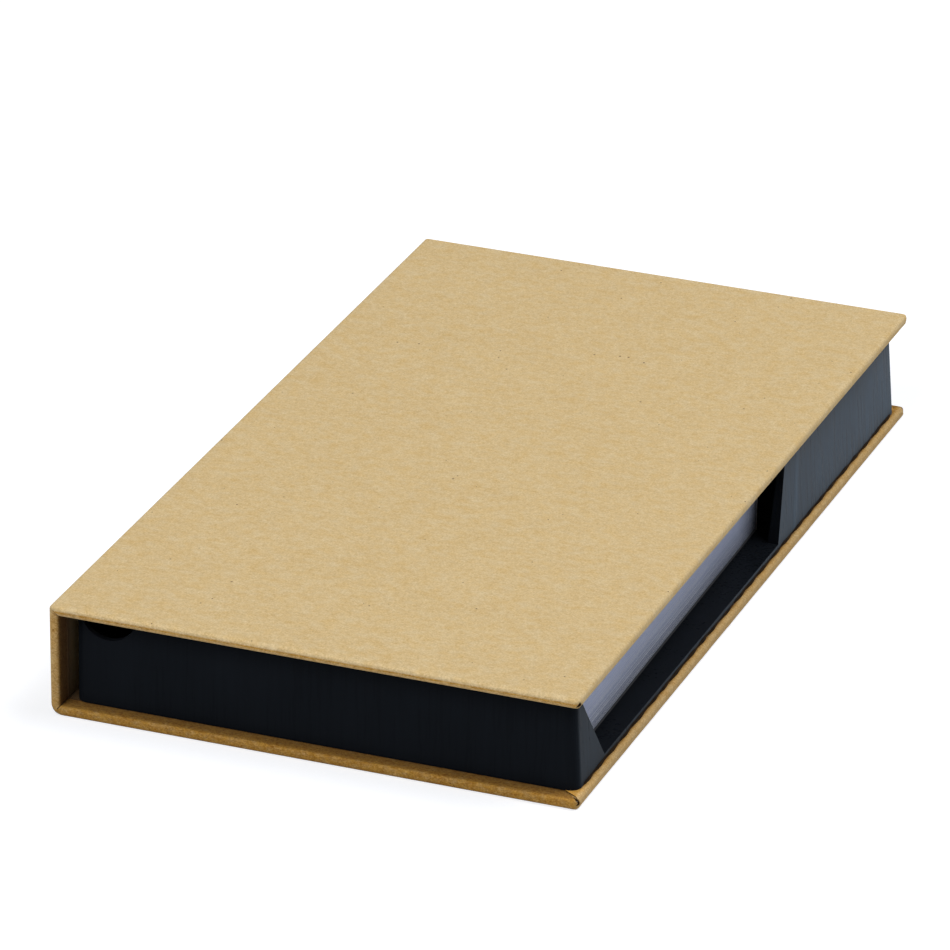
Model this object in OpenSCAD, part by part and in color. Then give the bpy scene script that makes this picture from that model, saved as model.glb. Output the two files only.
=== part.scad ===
// Book-style case of wrapped boards with a moulded tray and a memo pad.
// Millimetres. +X points to the open fore-edge, -Y to the end with the pen notch, +Z up.
// The origin is under the middle of the closed case, on the surface that it stands on.
// The case is sized from the inside out: pad, bays and walls first, then the boards round them.

/* [Pad] */
// Width of the memo pad
pad_w = 76; // [60:1:90]
// Length of the memo pad
pad_l = 102; // [80:1:120]
// Height of the pad's stack of sheets
sheets_t = 10; // [5:0.5:12]
// Thickness of the pad's stiff backing
backing_t = 0.6; // [0.3:0.1:1.2]
// Thickness of the glue film along the pad's far edge
binding_t = 0.3; // [0.2:0.1:0.6]
// Turn of the loose pad in its bay, in degrees
pad_turn = 0.8; // [-0.8:0.1:0.8]
// Play left beside the pad on the spine side
pad_spine_play = 1.15; // [1:0.05:3]
// Play left beside the pad on the fore-edge side
pad_fore_play = 3.15; // [1:0.05:6]
// Play left at the near end of the pad
pad_near_play = 6.4; // [1:0.1:12]
// Play left at the far end of the pad
pad_far_play = 4.6; // [1:0.1:12]

/* [Tray] */
// Thickness of the tray's walls at the rim, and of its dividers
wall_t = 1.1; // [0.8:0.1:2]
// Thickness of the tray's floor
floor_t = 1.2; // [0.8:0.1:2]
// Depth of the bays, from floor to rim
bay_depth = 16; // [13:0.5:22]
// Width of the pen channel
pen_w = 10.6; // [9:0.1:14]
// Length of the far bay, at the floor
far_bay_l = 56.7; // [30:0.1:80]
// How far the partition's rim leans towards the far end
partition_lean = 3; // [0:0.5:5]
// How far the fore-edge wall leans in, from foot to rim
fore_batter = 1.05; // [0:0.05:1.5]
// How far the end walls lean in, from foot to rim
end_batter = 0.45; // [0:0.05:1]
// Radius of the tray's upright outer corners
corner_r = 2; // [1.2:0.1:3]
// Radius of the bays' upright inner corners
bay_r = 1; // [0.5:0.1:2]

/* [Tray openings] */
// Radius of the half-round notch at the pen channel's near end
notch_r = 5.4; // [4:0.1:6]
// Height of the notch's centre above the rim
notch_rise = 1; // [0:0.1:2]
// Cut-out's near side at its foot, from the bay's near wall
cut_near_foot = 11.8; // [8:0.1:20]
// Cut-out's near side at the rim, from the bay's near wall
cut_near_rim = 1.3; // [1:0.1:8]
// Cut-out's far side at its foot, from the partition's foot
cut_far_foot = 8.9; // [4:0.1:20]
// Cut-out's far side at the rim, from the partition's foot
cut_far_rim = 3.1; // [1:0.1:4]

/* [Boards and paper] */
// Thickness of the grey boards
board_t = 1.5; // [1:0.1:2.5]
// Thickness of the kraft paper
paper_t = 0.2; // [0.15:0.05:0.3]
// Radius of the wrapped board edges
edge_r = 0.6; // [0.4:0.05:0.65]
// Radius of the covers' fore-edge corners, seen from above
cover_corner_r = 1.2; // [0.7:0.1:3]
// Outside radius of the crisp fold between lid and spine
upper_fold_r = 0.8; // [0.4:0.1:1.2]
// Outside radius of the rounder fold between spine and base
lower_fold_r = 2.2; // [1:0.1:2.6]
// Reach of each fold's paper to either side of its corner
fold_reach = 3; // [2.8:0.1:5]
// Width of the paper that is turned in round the edges
turn_in = 14; // [8:0.5:20]
// Distance of the liner from the board edges
liner_inset = 3.5; // [2:0.1:6]
// Clear gap between the mitred ends of two boards
mitre_gap = 0.1; // [0.05:0.05:0.3]

/* [Tray in the case] */
// Gap between the tray and the spine's liner
spine_gap = 1.5; // [0.5:0.1:4]
// Base that shows past the tray along the fore-edge
fore_reveal = 1.15; // [0.8:0.05:3]
// Base that shows past the tray at either end
end_reveal = 3.05; // [1:0.05:6]
// Gap between the tray's rim and the lid's liner
lid_gap = 0.1; // [0.05:0.05:0.5]

/* [Glue] */
// Width of a hidden glue line
glue_w = 8; // [4:1:12]
// Distance from a glue line's ends to the turned-in paper
glue_end = 6; // [2:1:20]
// Mean squeeze-out of the fore-edge bead past the tray's foot
squeeze = 0.28; // [0.2:0.02:0.4]
// Swing of the bead's wavy edge
squeeze_wave = 0.14; // [0:0.02:0.16]

/* [Hidden] */
$fn = 48;

// A board with its wrap outside and its turn-in inside, and the same with the liner on it
cover_t = board_t + 2 * paper_t;
lined_t = cover_t + paper_t;

// Tray and bays, as distances from the spine's outer face
tray_left = lined_t + spine_gap;
pen_left = tray_left + wall_t;
bay_left = pen_left + pen_w + wall_t;
bay_w = pad_w + pad_spine_play + pad_fore_play;
tray_right = bay_left + bay_w + wall_t + fore_batter;
case_w = tray_right + fore_reveal;

// Tray and bays, as distances from the case's near end
bay_near = end_reveal + end_batter + wall_t;
bay_l = pad_l + pad_near_play + pad_far_play;
partition_y = bay_near + bay_l;
far_bay_y = partition_y + wall_t;
case_l = far_bay_y + far_bay_l + wall_t + end_batter + end_reveal;

// Heights
tray_z = lined_t;
floor_z = tray_z + floor_t;
rim_z = floor_z + bay_depth;
case_h = rim_z + lid_gap + lined_t;
lid_z = case_h - cover_t;

// The same places in the part's own frame
left = -case_w / 2;
right = case_w / 2;
near = -case_l / 2;
far = case_l / 2;
pad_x = left + bay_left + pad_spine_play + pad_w / 2;
pad_y = near + bay_near + pad_near_play + pad_l / 2;

// Tools for cuts run this far past what they cut
past = 5;
// Width by which the two levels of a liner lap
lap = 1.5 * paper_t;
// Half of the mitre gap, measured level
mitre_shift = mitre_gap / sqrt(2);
// The paper of the folds ends just short of the rounded end edges
fold_l = case_l - 2 * (edge_r + paper_t);
// Thickness of the thin plates between which the tray's body is drawn
plate_t = floor_t / 100;
// Steps along the glue bead's wavy edge
wave_steps = 72;

KRAFT = [0.80, 0.66, 0.43];
KRAFT_FOLD = [0.72, 0.57, 0.35];
LINER = [0.84, 0.71, 0.49];
BOARD = [0.56, 0.54, 0.50];
PLASTIC = [0.07, 0.08, 0.09];
GLUE = [0.16, 0.12, 0.08];
SHEETS = [0.93, 0.94, 0.96];
BACKING = [0.62, 0.58, 0.50];
BINDING = [0.86, 0.87, 0.88];

// ---- shapes shared by several pieces ----

// Extrudes an outline drawn in X and Z along Y, centred
module along_y(length) {
    rotate([90, 0, 0]) translate([0, 0, -length / 2]) linear_extrude(length) children();
}

// Extrudes an outline drawn in Y and Z along X, over the whole case
module along_x() {
    rotate([90, 0, 90]) translate([0, 0, left - past]) linear_extrude(case_w + 2 * past) children();
}

// Rectangle between two corners, with all its corners rounded
module round_rect(low, high, r) {
    translate([low.x + r, low.y]) square([high.x - low.x - 2 * r, high.y - low.y]);
    translate([low.x, low.y + r]) square([high.x - low.x, high.y - low.y - 2 * r]);
    for (x = [low.x + r, high.x - r], y = [low.y + r, high.y - r]) translate([x, y]) circle(r);
}

// What a corner of radius r leaves outside it
module corner_waste(r) {
    difference() {
        translate([-past, -past]) square(r + past);
        translate([r, r]) circle(r);
    }
}

// End view of the closed case, drawn in by d: rounded at the two folds, open to the right
module case_outline(d) {
    difference() {
        square_outline(d);
        if (lower_fold_r > d) translate([left + d, d]) corner_waste(lower_fold_r - d);
        if (upper_fold_r > d) translate([left + d, case_h - d]) mirror([0, 1]) corner_waste(upper_fold_r - d);
    }
}

// The same with square corners
module square_outline(d) {
    translate([left + d, d]) square([1.5 * case_w, case_h - 2 * d]);
}

// The case's end view is shared out at the two folds by mitre lines at 45 degrees
module base_sector() {
    k = case_h / 3;
    polygon([[left + mitre_shift, -past], [left + mitre_shift, 0], [left + mitre_shift + k, k],
             [2 * case_w, k], [2 * case_w, -past]]);
}

module spine_sector() {
    k = case_h / 2;
    polygon([[left - past, -past], [left, mitre_shift], [left + k - mitre_shift, k],
             [left, case_h - mitre_shift], [left - past, case_h + past]]);
}

// What belongs to the base, to the lid or to the spine
module base_part() {
    intersection() {
        children();
        along_y(2 * case_l) base_sector();
    }
}

module lid_part() {
    intersection() {
        children();
        along_y(2 * case_l) translate([0, case_h]) mirror([0, 1]) base_sector();
    }
}

module spine_part() {
    intersection() {
        children();
        along_y(2 * case_l) spine_sector();
    }
}

// A cover's slab with its underside at z, drawn in by d; r rounds its near, far and fore edges
module cover_block(z, d, r) {
    low = z + d;
    high = z + cover_t - d;
    intersection() {
        along_y(2 * case_l) intersection() {
            case_outline(d);
            round_rect([left - case_w, low], [right - d, high], r);
        }
        along_x() round_rect([near + d, low], [far - d, high], r);
        translate([0, 0, z - past]) linear_extrude(cover_t + 2 * past)
            round_rect([left - case_w, near + d], [right - d, far - d], cover_corner_r - d);
    }
}

// The spine's slab, drawn in by d; r rounds its near and far edges
module spine_block(d, r) {
    intersection() {
        along_y(2 * case_l) case_outline(d);
        linear_extrude(case_h) round_rect([left + d, near + d], [left + cover_t - d, far - d], r);
    }
}

// What lies nearer than d to the case's outer faces, round the lower corner and round the upper one
module lower_corner(d) {
    difference() {
        translate([left - past, -past]) square(past + fold_reach);
        case_outline(d);
    }
}

module upper_corner(d) {
    difference() {
        translate([left - past, case_h - fold_reach]) square(past + fold_reach);
        case_outline(d);
    }
}

// The inner faces inside the turned-in paper, from the middle of the boards inwards
module window() {
    translate([left + cover_t / 2, near + turn_in, cover_t / 2])
        cube([case_w - cover_t / 2 - turn_in, case_l - 2 * turn_in, case_h - cover_t]);
}

// An upright block over the inner faces, this far from the near, far and fore edges
module column(inset) {
    translate([left - past, near + inset, -past])
        cube([case_w + past - inset, case_l - 2 * inset, case_h + 2 * past]);
}

// One level of the liner paper, at the depth d
module liner_level(d, inset) {
    intersection() {
        along_y(case_l) difference() {
            square_outline(d);
            square_outline(d + paper_t);
        }
        column(inset);
    }
}

// The liner paper has two levels: on the board inside the turn-ins, and one paper up on top of them
module liners() {
    liner_level(cover_t - paper_t, turn_in);
    difference() {
        liner_level(cover_t, liner_inset);
        column(turn_in + lap);
    }
}

// ---- case ----

module lid_board() {
    color(BOARD) lid_part() cover_block(lid_z, paper_t, edge_r - paper_t);
}

module lid_wrap() {
    color(KRAFT) lid_part() difference() {
        cover_block(lid_z, 0, edge_r);
        cover_block(lid_z, paper_t, edge_r - paper_t);
        window();
        along_y(fold_l) upper_corner(2 * paper_t);
    }
}

module lid_liner() {
    color(LINER) lid_part() liners();
}

module spine_board() {
    color(BOARD) spine_part() spine_block(paper_t, edge_r - paper_t);
}

module spine_wrap() {
    color(KRAFT) spine_part() difference() {
        spine_block(0, edge_r);
        spine_block(paper_t, edge_r - paper_t);
        window();
        along_y(fold_l) upper_corner(2 * paper_t);
        along_y(fold_l) lower_corner(2 * paper_t);
    }
}

module spine_liner() {
    color(LINER) spine_part() liners();
}

module base_board() {
    color(BOARD) base_part() cover_block(0, paper_t, edge_r - paper_t);
}

module base_wrap() {
    color(KRAFT) base_part() difference() {
        cover_block(0, 0, edge_r);
        cover_block(0, paper_t, edge_r - paper_t);
        window();
        along_y(fold_l) lower_corner(2 * paper_t);
    }
}

module base_liner() {
    color(LINER) base_part() liners();
}

module upper_fold() {
    color(KRAFT_FOLD) along_y(fold_l) intersection() {
        case_outline(0);
        upper_corner(paper_t);
    }
}

module lower_fold() {
    color(KRAFT_FOLD) along_y(fold_l) intersection() {
        case_outline(0);
        lower_corner(paper_t);
    }
}

// ---- tray ----

// The tray's plan at one height, as a thin plate; lean_x and lean_y draw in its fore-edge and its ends
module tray_plan(z, lean_x, lean_y) {
    low = [left + tray_left, near + end_reveal + lean_y];
    high = [left + tray_right - lean_x, far - end_reveal - lean_y];
    translate([0, 0, z]) linear_extrude(plate_t) round_rect(low, high, corner_r, $fn = 32);
}

module tray_body() {
    hull() {
        tray_plan(tray_z, 0, 0);
        tray_plan(rim_z - plate_t, fore_batter, end_batter);
    }
}

// A bay with upright walls, between two corners of its plan
module bay(low, high) {
    translate([left, near, floor_z]) linear_extrude(bay_depth + past) round_rect(low, high, bay_r);
}

// The sloping partition, drawn in Y and Z
module partition() {
    top = rim_z + past;
    lean = partition_lean * (top - floor_z) / bay_depth;
    foot = near + partition_y;
    polygon([[foot, floor_z - floor_t / 2], [foot + wall_t, floor_z - floor_t / 2],
             [foot + wall_t + lean, top], [foot + lean, top]]);
}

// The cut-out in the fore-edge wall, drawn in Y and Z and open at the rim
module cutout() {
    grow = (bay_depth + past) / bay_depth;
    near_foot = near + bay_near + cut_near_foot;
    far_foot = near + partition_y - cut_far_foot;
    near_top = near_foot - (cut_near_foot - cut_near_rim) * grow;
    far_top = far_foot + (cut_far_foot - cut_far_rim) * grow;
    polygon([[near_foot, floor_z], [far_foot, floor_z], [far_top, rim_z + past], [near_top, rim_z + past]]);
}

module tray() {
    pen_right = pen_left + pen_w;
    far_end = case_l - bay_near;
    color(PLASTIC) difference() {
        tray_body();
        bay([pen_left, bay_near], [pen_right, far_end]);
        difference() {
            bay([bay_left, bay_near], [bay_left + bay_w, far_end]);
            along_x() partition();
        }
        intersection() {
            along_x() cutout();
            translate([left + bay_left + bay_w / 2, near, 0]) cube([case_w, case_l, case_h]);
        }
        translate([left + pen_left + pen_w / 2, near + bay_near + past, rim_z + notch_rise])
            rotate([90, 0, 0]) cylinder(r = notch_r, h = bay_near + 2 * past);
    }
}

// ---- glue under the tray ----

// Squeeze-out at the share s of the bead's length
function bead_edge(s) = squeeze + squeeze_wave * (0.6 * sin(360 * 7 * s) + 0.4 * sin(360 * 17 * s + 40));

module tray_glue() {
    line_l = case_l - 2 * (turn_in + glue_end);
    bead_y = far - end_reveal - corner_r;
    bead_in = right - liner_inset + lap;
    foot = left + tray_right;
    color(GLUE) translate([0, 0, cover_t]) linear_extrude(paper_t) {
        for (x = [left + pen_left + pen_w / 2, right - turn_in - glue_w])
            translate([x - glue_w / 2, -line_l / 2]) square([glue_w, line_l]);
        polygon(concat(
            [[bead_in, bead_y], [bead_in, -bead_y]],
            [for (i = [0:wave_steps]) [foot + bead_edge(i / wave_steps), bead_y * (2 * i / wave_steps - 1)]]));
    }
}

// ---- memo pad ----

// A block of the pad: its near end lies at y_from, measured from the pad's near edge
module pad_block(y_from, length, z, h) {
    translate([pad_x, pad_y, z]) rotate([0, 0, pad_turn])
        translate([-pad_w / 2, y_from - pad_l / 2, 0]) cube([pad_w, length, h]);
}

module pad_backing() {
    color(BACKING) pad_block(0, pad_l - binding_t, floor_z, backing_t);
}

module pad_sheets() {
    color(SHEETS) pad_block(0, pad_l - binding_t, floor_z + backing_t, sheets_t);
}

module pad_binding() {
    color(BINDING) pad_block(pad_l - binding_t, binding_t, floor_z, backing_t + sheets_t);
}

lid_board();
lid_wrap();
lid_liner();
spine_board();
spine_wrap();
spine_liner();
base_board();
base_wrap();
base_liner();
upper_fold();
lower_fold();
tray();
tray_glue();
pad_sheets();
pad_backing();
pad_binding();
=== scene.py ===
import math
import random

import bmesh
import bpy
from mathutils import Matrix, Vector, noise

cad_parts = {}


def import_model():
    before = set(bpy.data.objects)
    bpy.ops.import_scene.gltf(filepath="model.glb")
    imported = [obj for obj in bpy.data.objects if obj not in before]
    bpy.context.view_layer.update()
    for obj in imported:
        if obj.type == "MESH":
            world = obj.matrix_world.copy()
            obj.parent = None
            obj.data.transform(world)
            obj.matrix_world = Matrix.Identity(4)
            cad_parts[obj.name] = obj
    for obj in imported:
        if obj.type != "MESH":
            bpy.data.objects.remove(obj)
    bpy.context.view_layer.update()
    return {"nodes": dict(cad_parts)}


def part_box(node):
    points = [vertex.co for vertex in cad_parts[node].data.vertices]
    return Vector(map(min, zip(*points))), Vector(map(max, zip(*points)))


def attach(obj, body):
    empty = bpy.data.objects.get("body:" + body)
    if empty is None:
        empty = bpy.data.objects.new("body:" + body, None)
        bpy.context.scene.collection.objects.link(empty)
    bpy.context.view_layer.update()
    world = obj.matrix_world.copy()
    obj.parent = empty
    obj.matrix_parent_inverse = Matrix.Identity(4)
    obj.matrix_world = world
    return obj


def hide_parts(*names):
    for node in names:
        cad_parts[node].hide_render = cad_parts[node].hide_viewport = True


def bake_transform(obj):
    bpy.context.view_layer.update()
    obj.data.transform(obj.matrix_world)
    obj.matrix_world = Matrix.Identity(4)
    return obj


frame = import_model()
nodes = frame["nodes"]

# ---- sizes in millimetres, from the frame where it holds them ----

MM = 0.001


def box_mm(node):
    """Lowest and highest corner of a node, in millimetres."""
    low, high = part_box(node)
    return low / MM, high / MM


spine_low = box_mm("spine_wrap")[0]
base_low, base_high = box_mm("base_wrap")
lid_high = box_mm("lid_wrap")[1]
fold_high = box_mm("lower_fold")[1]
tray_low, tray_high = box_mm("tray")
sheets_low, sheets_high = box_mm("pad_sheets")
glue_low, glue_high = box_mm("tray_glue")

LEFT = spine_low.x
RIGHT = base_high.x
NEAR = base_low.y
TOP = lid_high.z
COVER = base_high.z        # a board with its paper on both sides
FOLD_REACH = fold_high.z   # how far a fold's paper reaches from its corner

# The case's paper, as the part's source has it
PAPER = 0.2
OUTER_R = 0.8
INNER_R = 0.6
CORNER_R = 1.2
CORNER_FULL = 0.4  # how far the corners bulge from turned (0) to square in section (1)
UPPER_R = 0.8
LOWER_R = 2.2
TURN_IN = 14
LINER_INSET = 3.5
MITRE_GAP = 0.1
MITRE_SHIFT = MITRE_GAP / math.sqrt(2)  # half of the gap, measured level

# How finely the paper is modelled
ARC_STEPS = 8
WALL_STEPS = 5
FLAT_FROM = 1.5
PIT = 0.16         # how deep the tucks at the corners are
EDGE_STEP = 0.6
CORNER_STEP = 0.1
CORNER_ARC = 20
NEAR_CORNER = 3    # how far from a corner its finer steps reach
FOLD_STEPS = 4
FOLD_ARC = 12
FOLD_SIDE = 3      # steps in each straight part of a fold's path
SPINE_STEPS = 25
WELD_GAP = 0.002   # points nearer than this become one
SLIVER = 0.001     # edges shorter than this are taken out
CRISP_ANGLE = math.radians(50)

# Unevenness of the wrapped edges
EDGE_WAVE = 0.10
EDGE_ROUGH = 0.05
WAVE_LENGTH = 7
ROUGH_LENGTH = 1.1


def smooth(low, high, value):
    """0 before low, 1 past high and smooth in between. Low may be the greater one."""
    t = min(max((value - low) / (high - low), 0), 1)
    return t * t * (3 - 2 * t)


def spread(start, end, step):
    """Even stops from start to end, about a step apart."""
    count = max(1, round(abs(end - start) / step))
    return [start + (end - start) * i / count for i in range(count + 1)]


# ---- building surfaces ----

class Skin:
    """The points, faces and colour attributes of one piece, such as a worn tint with painted light and
    shade, painted shade, and painted shade in holes and seams.
    """

    def __init__(self):
        self.points, self.faces, self.edge, self.shade, self.dark = [], [], [], [], []

    def add(self, point, edge=0.0, shade=0.0, dark=0.0):
        """A new point with its colour attributes; gives its number."""
        self.points.append(tuple(point))
        self.edge.append(edge)
        self.shade.append(shade)
        self.dark.append(dark)
        return len(self.points) - 1

    def face(self, corners, flip=False):
        """A face between points given by number."""
        self.faces.append(tuple(reversed(corners)) if flip else tuple(corners))

    def fill(self, rows, flip=False):
        """Quads between rows of point numbers; None leaves a gap."""
        for row, after in zip(rows, rows[1:]):
            for corners in zip(row, after, after[1:], row[1:]):
                if None not in corners:
                    self.face(corners, flip)

    def build(self, name, material, sheet=0.0):
        """The piece as an object; with sheet, paper of that thickness behind its face."""
        mesh = bpy.data.meshes.new(name)
        mesh.from_pydata([[c * MM for c in p] for p in self.points], [], self.faces)
        rest = mesh.attributes.new("rest", "FLOAT_VECTOR", "POINT")
        rest.data.foreach_set("vector", [c for p in self.points for c in p])
        for name_of, values in (("edge", self.edge), ("shade", self.shade), ("dark", self.dark)):
            mesh.attributes.new(name_of, "FLOAT", "POINT").data.foreach_set("value", values)
        shape = bmesh.new()
        shape.from_mesh(mesh)
        bmesh.ops.remove_doubles(shape, verts=shape.verts, dist=WELD_GAP * MM)
        bmesh.ops.dissolve_degenerate(shape, edges=shape.edges, dist=SLIVER * MM)
        shape.to_mesh(mesh)
        shape.free()
        mesh.shade_smooth()
        mesh.materials.append(material)
        piece = bpy.data.objects.new(name, mesh)
        bpy.context.scene.collection.objects.link(piece)
        if sheet:
            solid = piece.modifiers.new("paper", "SOLIDIFY")
            solid.thickness = sheet * MM
            solid.offset = -1
            split = piece.modifiers.new("crisp_rim", "EDGE_SPLIT")
            split.split_angle = CRISP_ANGLE
        return piece


def uneven(place, out, amount):
    """The wrapped edge's distance from its true line at a place, negative as it lies inside."""
    wave = EDGE_WAVE * (0.5 + 0.5 * noise.noise(place / WAVE_LENGTH))
    rough = EDGE_ROUGH * (0.5 + 0.5 * noise.noise(place / ROUGH_LENGTH))
    return -amount * (wave + rough) * out ** 3


def ring_profile():
    """Stops round a board's wrapped edge, from its outer face to its inner one.

    Each is an inset, a depth from the outer face, and the outward direction in inset and depth.
    """
    rings = [(FLAT_FROM, 0, 0, -1)]
    for i in range(ARC_STEPS + 1):
        a = math.pi / 2 * i / ARC_STEPS
        inset, depth = OUTER_R * (1 - math.sin(a)), OUTER_R * (1 - math.cos(a))
        rings.append((inset, depth, math.sin(a), -math.cos(a)))
    wall = COVER - OUTER_R - INNER_R
    for i in range(1, WALL_STEPS):
        rings.append((0, OUTER_R + wall * i / WALL_STEPS, 1, 0))
    for i in range(ARC_STEPS + 1):
        a = math.pi / 2 * i / ARC_STEPS
        inset, depth = INNER_R * (1 - math.cos(a)), COVER - INNER_R * (1 - math.sin(a))
        rings.append((inset, depth, math.cos(a), math.sin(a)))
    rings += [(FLAT_FROM, COVER, 0, 1), (LINER_INSET, COVER, 0, 1), (TURN_IN, COVER, 0, 1)]
    return rings


RINGS = ring_profile()
FOLD_RING = ARC_STEPS + 1  # the ring where the end face starts


def along(stops, value):
    """The result at a value, from (position, result) stops with straight lines between them."""
    for (low, a), (high, b) in zip(stops, stops[1:]):
        if value <= high:
            return a + (b - a) * min(max((value - low) / (high - low), 0), 1)
    return stops[-1][1]


def ring_tint(stops, ring):
    """A ring's share of the worn tint with its painted light and shade, or of the painted shade, from a
    piece's stops.
    """
    inset, depth, out, down = ring
    if down < 0:
        place = out
    elif out == 1:
        place = 1 + (depth - OUTER_R) / (COVER - OUTER_R - INNER_R)
    else:
        place = 3 - out if inset < INNER_R else 3 + (inset - INNER_R)
    return along(stops, place)


# ---- materials ----

LEVEL_FROM_TO = (0.3, 0.8)  # how steep a normal stands on faces that count as upright and as level


class NodeKit:
    """Short ways to add and join the nodes of one tree."""

    def __init__(self, tree):
        self.tree = tree

    def add(self, kind, **values):
        """A new node with its inputs or its own settings given by name."""
        made = self.tree.nodes.new(kind)
        for key, value in values.items():
            if key in made.inputs:
                made.inputs[key].default_value = value
            else:
                setattr(made, key, value)
        return made

    def join(self, source, target):
        self.tree.links.new(source, target)

    def feed(self, socket, term):
        """Sets a socket to a number or a colour, or joins an output to it."""
        if isinstance(term, (int, float)):
            socket.default_value = term
        elif isinstance(term, tuple):
            socket.default_value = (*term, 1)
        else:
            self.join(term, socket)

    def attribute(self, name):
        return self.add("ShaderNodeAttribute", attribute_name=name).outputs

    def rest_place(self):
        """The place in millimetres where the piece lies in the closed case."""
        return self.attribute("rest")["Vector"]

    def object_place(self):
        """The place in millimetres in the object's own coordinates."""
        scale = self.add("ShaderNodeVectorMath", operation="SCALE")
        scale.inputs["Scale"].default_value = 1 / MM
        self.join(self.add("ShaderNodeTexCoord").outputs["Object"], scale.inputs[0])
        return scale.outputs[0]

    def split(self, vector):
        """The X, Y and Z outputs of a vector."""
        parts = self.add("ShaderNodeSeparateXYZ")
        self.join(vector, parts.inputs[0])
        return parts.outputs

    def noise(self, place, scale, detail=2.0, stretch=(1, 1, 1)):
        """Noise with about scale features a millimetre, from 0 to 1."""
        mapping = self.add("ShaderNodeMapping")
        mapping.inputs["Scale"].default_value = [scale * s for s in stretch]
        self.join(place, mapping.inputs["Vector"])
        texture = self.add("ShaderNodeTexNoise", Scale=1.0, Detail=detail, Roughness=0.6)
        self.join(mapping.outputs[0], texture.inputs["Vector"])
        return texture.outputs["Fac"]

    def remap(self, value, low, high, out_low=0.0, out_high=1.0, smoothstep=False):
        """The value's range from low to high taken to another range."""
        node = self.add("ShaderNodeMapRange")
        if smoothstep:
            node.interpolation_type = "SMOOTHSTEP"
        ends = {"From Min": low, "From Max": high, "To Min": out_low, "To Max": out_high}
        for key, number in ends.items():
            node.inputs[key].default_value = number
        self.join(value, node.inputs["Value"])
        return node.outputs["Result"]

    def calc(self, operation, *terms):
        """Arithmetic on outputs and numbers."""
        node = self.add("ShaderNodeMath", operation=operation)
        for socket, term in zip(node.inputs, terms):
            self.feed(socket, term)
        return node.outputs[0]

    def size(self, value):
        """The value without its sign."""
        return self.calc("ABSOLUTE", value)

    def line(self, value, level, width):
        """1 where the value is at a level, falling to 0 at width from it."""
        return self.remap(self.size(self.calc("SUBTRACT", value, level)), 0.0, width, 1.0, 0.0)

    def scaled(self, vector, factor):
        """A colour or vector times a factor."""
        node = self.add("ShaderNodeVectorMath", operation="SCALE")
        if isinstance(vector, tuple):
            node.inputs[0].default_value = vector
        else:
            self.join(vector, node.inputs[0])
        self.join(factor, node.inputs["Scale"])
        return node.outputs[0]

    def tint(self, base, colour, share):
        """The base colour mixed with another by a share."""
        node = self.add("ShaderNodeMix", data_type="RGBA", blend_type="MIX")
        for index, term in ((0, share), (6, base), (7, colour)):
            self.feed(node.inputs[index], term)
        return node.outputs[2]

    def bump(self, height, strength, depth_mm, before=None):
        """The normals of a relief, laid over those of another one."""
        node = self.add("ShaderNodeBump", Strength=strength, Distance=depth_mm * MM)
        self.join(height, node.inputs["Height"])
        if before is not None:
            self.join(before, node.inputs["Normal"])
        return node.outputs["Normal"]

    def upward(self, low=0.0, high=1.0):
        """The low value on upright faces and the high one on level faces."""
        normal = self.split(self.add("ShaderNodeNewGeometry").outputs["Normal"])
        return self.remap(self.size(normal["Z"]), *LEVEL_FROM_TO, low, high)


def new_material(name):
    """A new material, its shader's inputs and a kit for its nodes."""
    material = bpy.data.materials.new(name)
    material.use_nodes = True
    tree = material.node_tree
    return material, tree.nodes["Principled BSDF"].inputs, NodeKit(tree)


def srgb(red, green, blue):
    """Linear colour of an 8-bit display colour."""
    def linear(c):
        c /= 255
        return c / 12.92 if c <= 0.04045 else ((c + 0.055) / 1.055) ** 2.4
    return tuple(linear(c) for c in (red, green, blue))


KRAFT = srgb(211, 185, 137)
# The worn, orange edge colour; laid on the shaded end and inner faces, it is partly painted shade.
KRAFT_WORN_AND_SHADED = srgb(196, 145, 60)
KRAFT_INSIDE = srgb(206, 180, 130)
# Painted shade: the deep brown that darkens the covers' inner faces, the gap beside the spine, the liners'
# ends and the paper by the tray's foot.
KRAFT_PAINTED_SHADE = (0.056, 0.024, 0.008)
KRAFT_SPECK = (0.10, 0.045, 0.02)
# Painted shade inside the corner tucks and along the fore flaps' slanted ends.
HOLE_PAINTED_SHADE = (0.022, 0.009, 0.003)
TONE_STEPS = (1.05, 1.35, 1.95)  # how a colour's red, green and blue follow a change of tone
WARM_STEPS = (0.10, 0.36, 1)     # and a change of warmth
# Painted light: where the edge attribute is below 0, the lid's rounded edges are lightened.
PAINTED_LIGHT = 1.35                    # how much lighter the paper is where its edge attribute is -1
PAPER_GLOSS = 0.25

# Where the liners get painted shade, near their ends and in the gap beside the tray, in millimetres from
# the middle of the case
END_SHADE_FROM = 85.2
SPINE_END_SHADE_FROM = 78
END_SHADE_TO = 86.4
END_SHADE_SHARE = 0.96
GAP_EDGE = tray_low.x + 0.8
GAP_FADE = 0.5
GAP_SHARE = 0.92


def painted_liner_shade(kit, colour, place, end_shade_from, gap_edge):
    """A liner's colour, with painted shade near its ends and, past gap_edge, in the gap beside the tray."""
    spot = kit.split(place)
    stain = kit.remap(kit.size(spot["Y"]), end_shade_from, END_SHADE_TO, 0, END_SHADE_SHARE)
    if gap_edge is not None:
        in_gap = kit.remap(spot["X"], gap_edge, gap_edge + GAP_FADE, GAP_SHARE, 0)
        stain = kit.calc("MAXIMUM", stain, in_gap)
    return kit.tint(colour, KRAFT_PAINTED_SHADE, stain)


def textured(kit, colour, tone, warmth):
    """A colour with its tone and warmth changed by shares that run round 0."""
    texture = (1, 1, 1)
    for steps, share in ((TONE_STEPS, tone), (WARM_STEPS, warmth)):
        moved = kit.add("ShaderNodeVectorMath", operation="ADD")
        if isinstance(texture, tuple):
            moved.inputs[0].default_value = texture
        else:
            kit.join(texture, moved.inputs[0])
        kit.join(kit.scaled(steps, share), moved.inputs[1])
        texture = moved.outputs[0]
    toned = kit.add("ShaderNodeVectorMath", operation="MULTIPLY")
    kit.join(colour, toned.inputs[0])
    kit.join(texture, toned.inputs[1])
    return toned.outputs[0]


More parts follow.
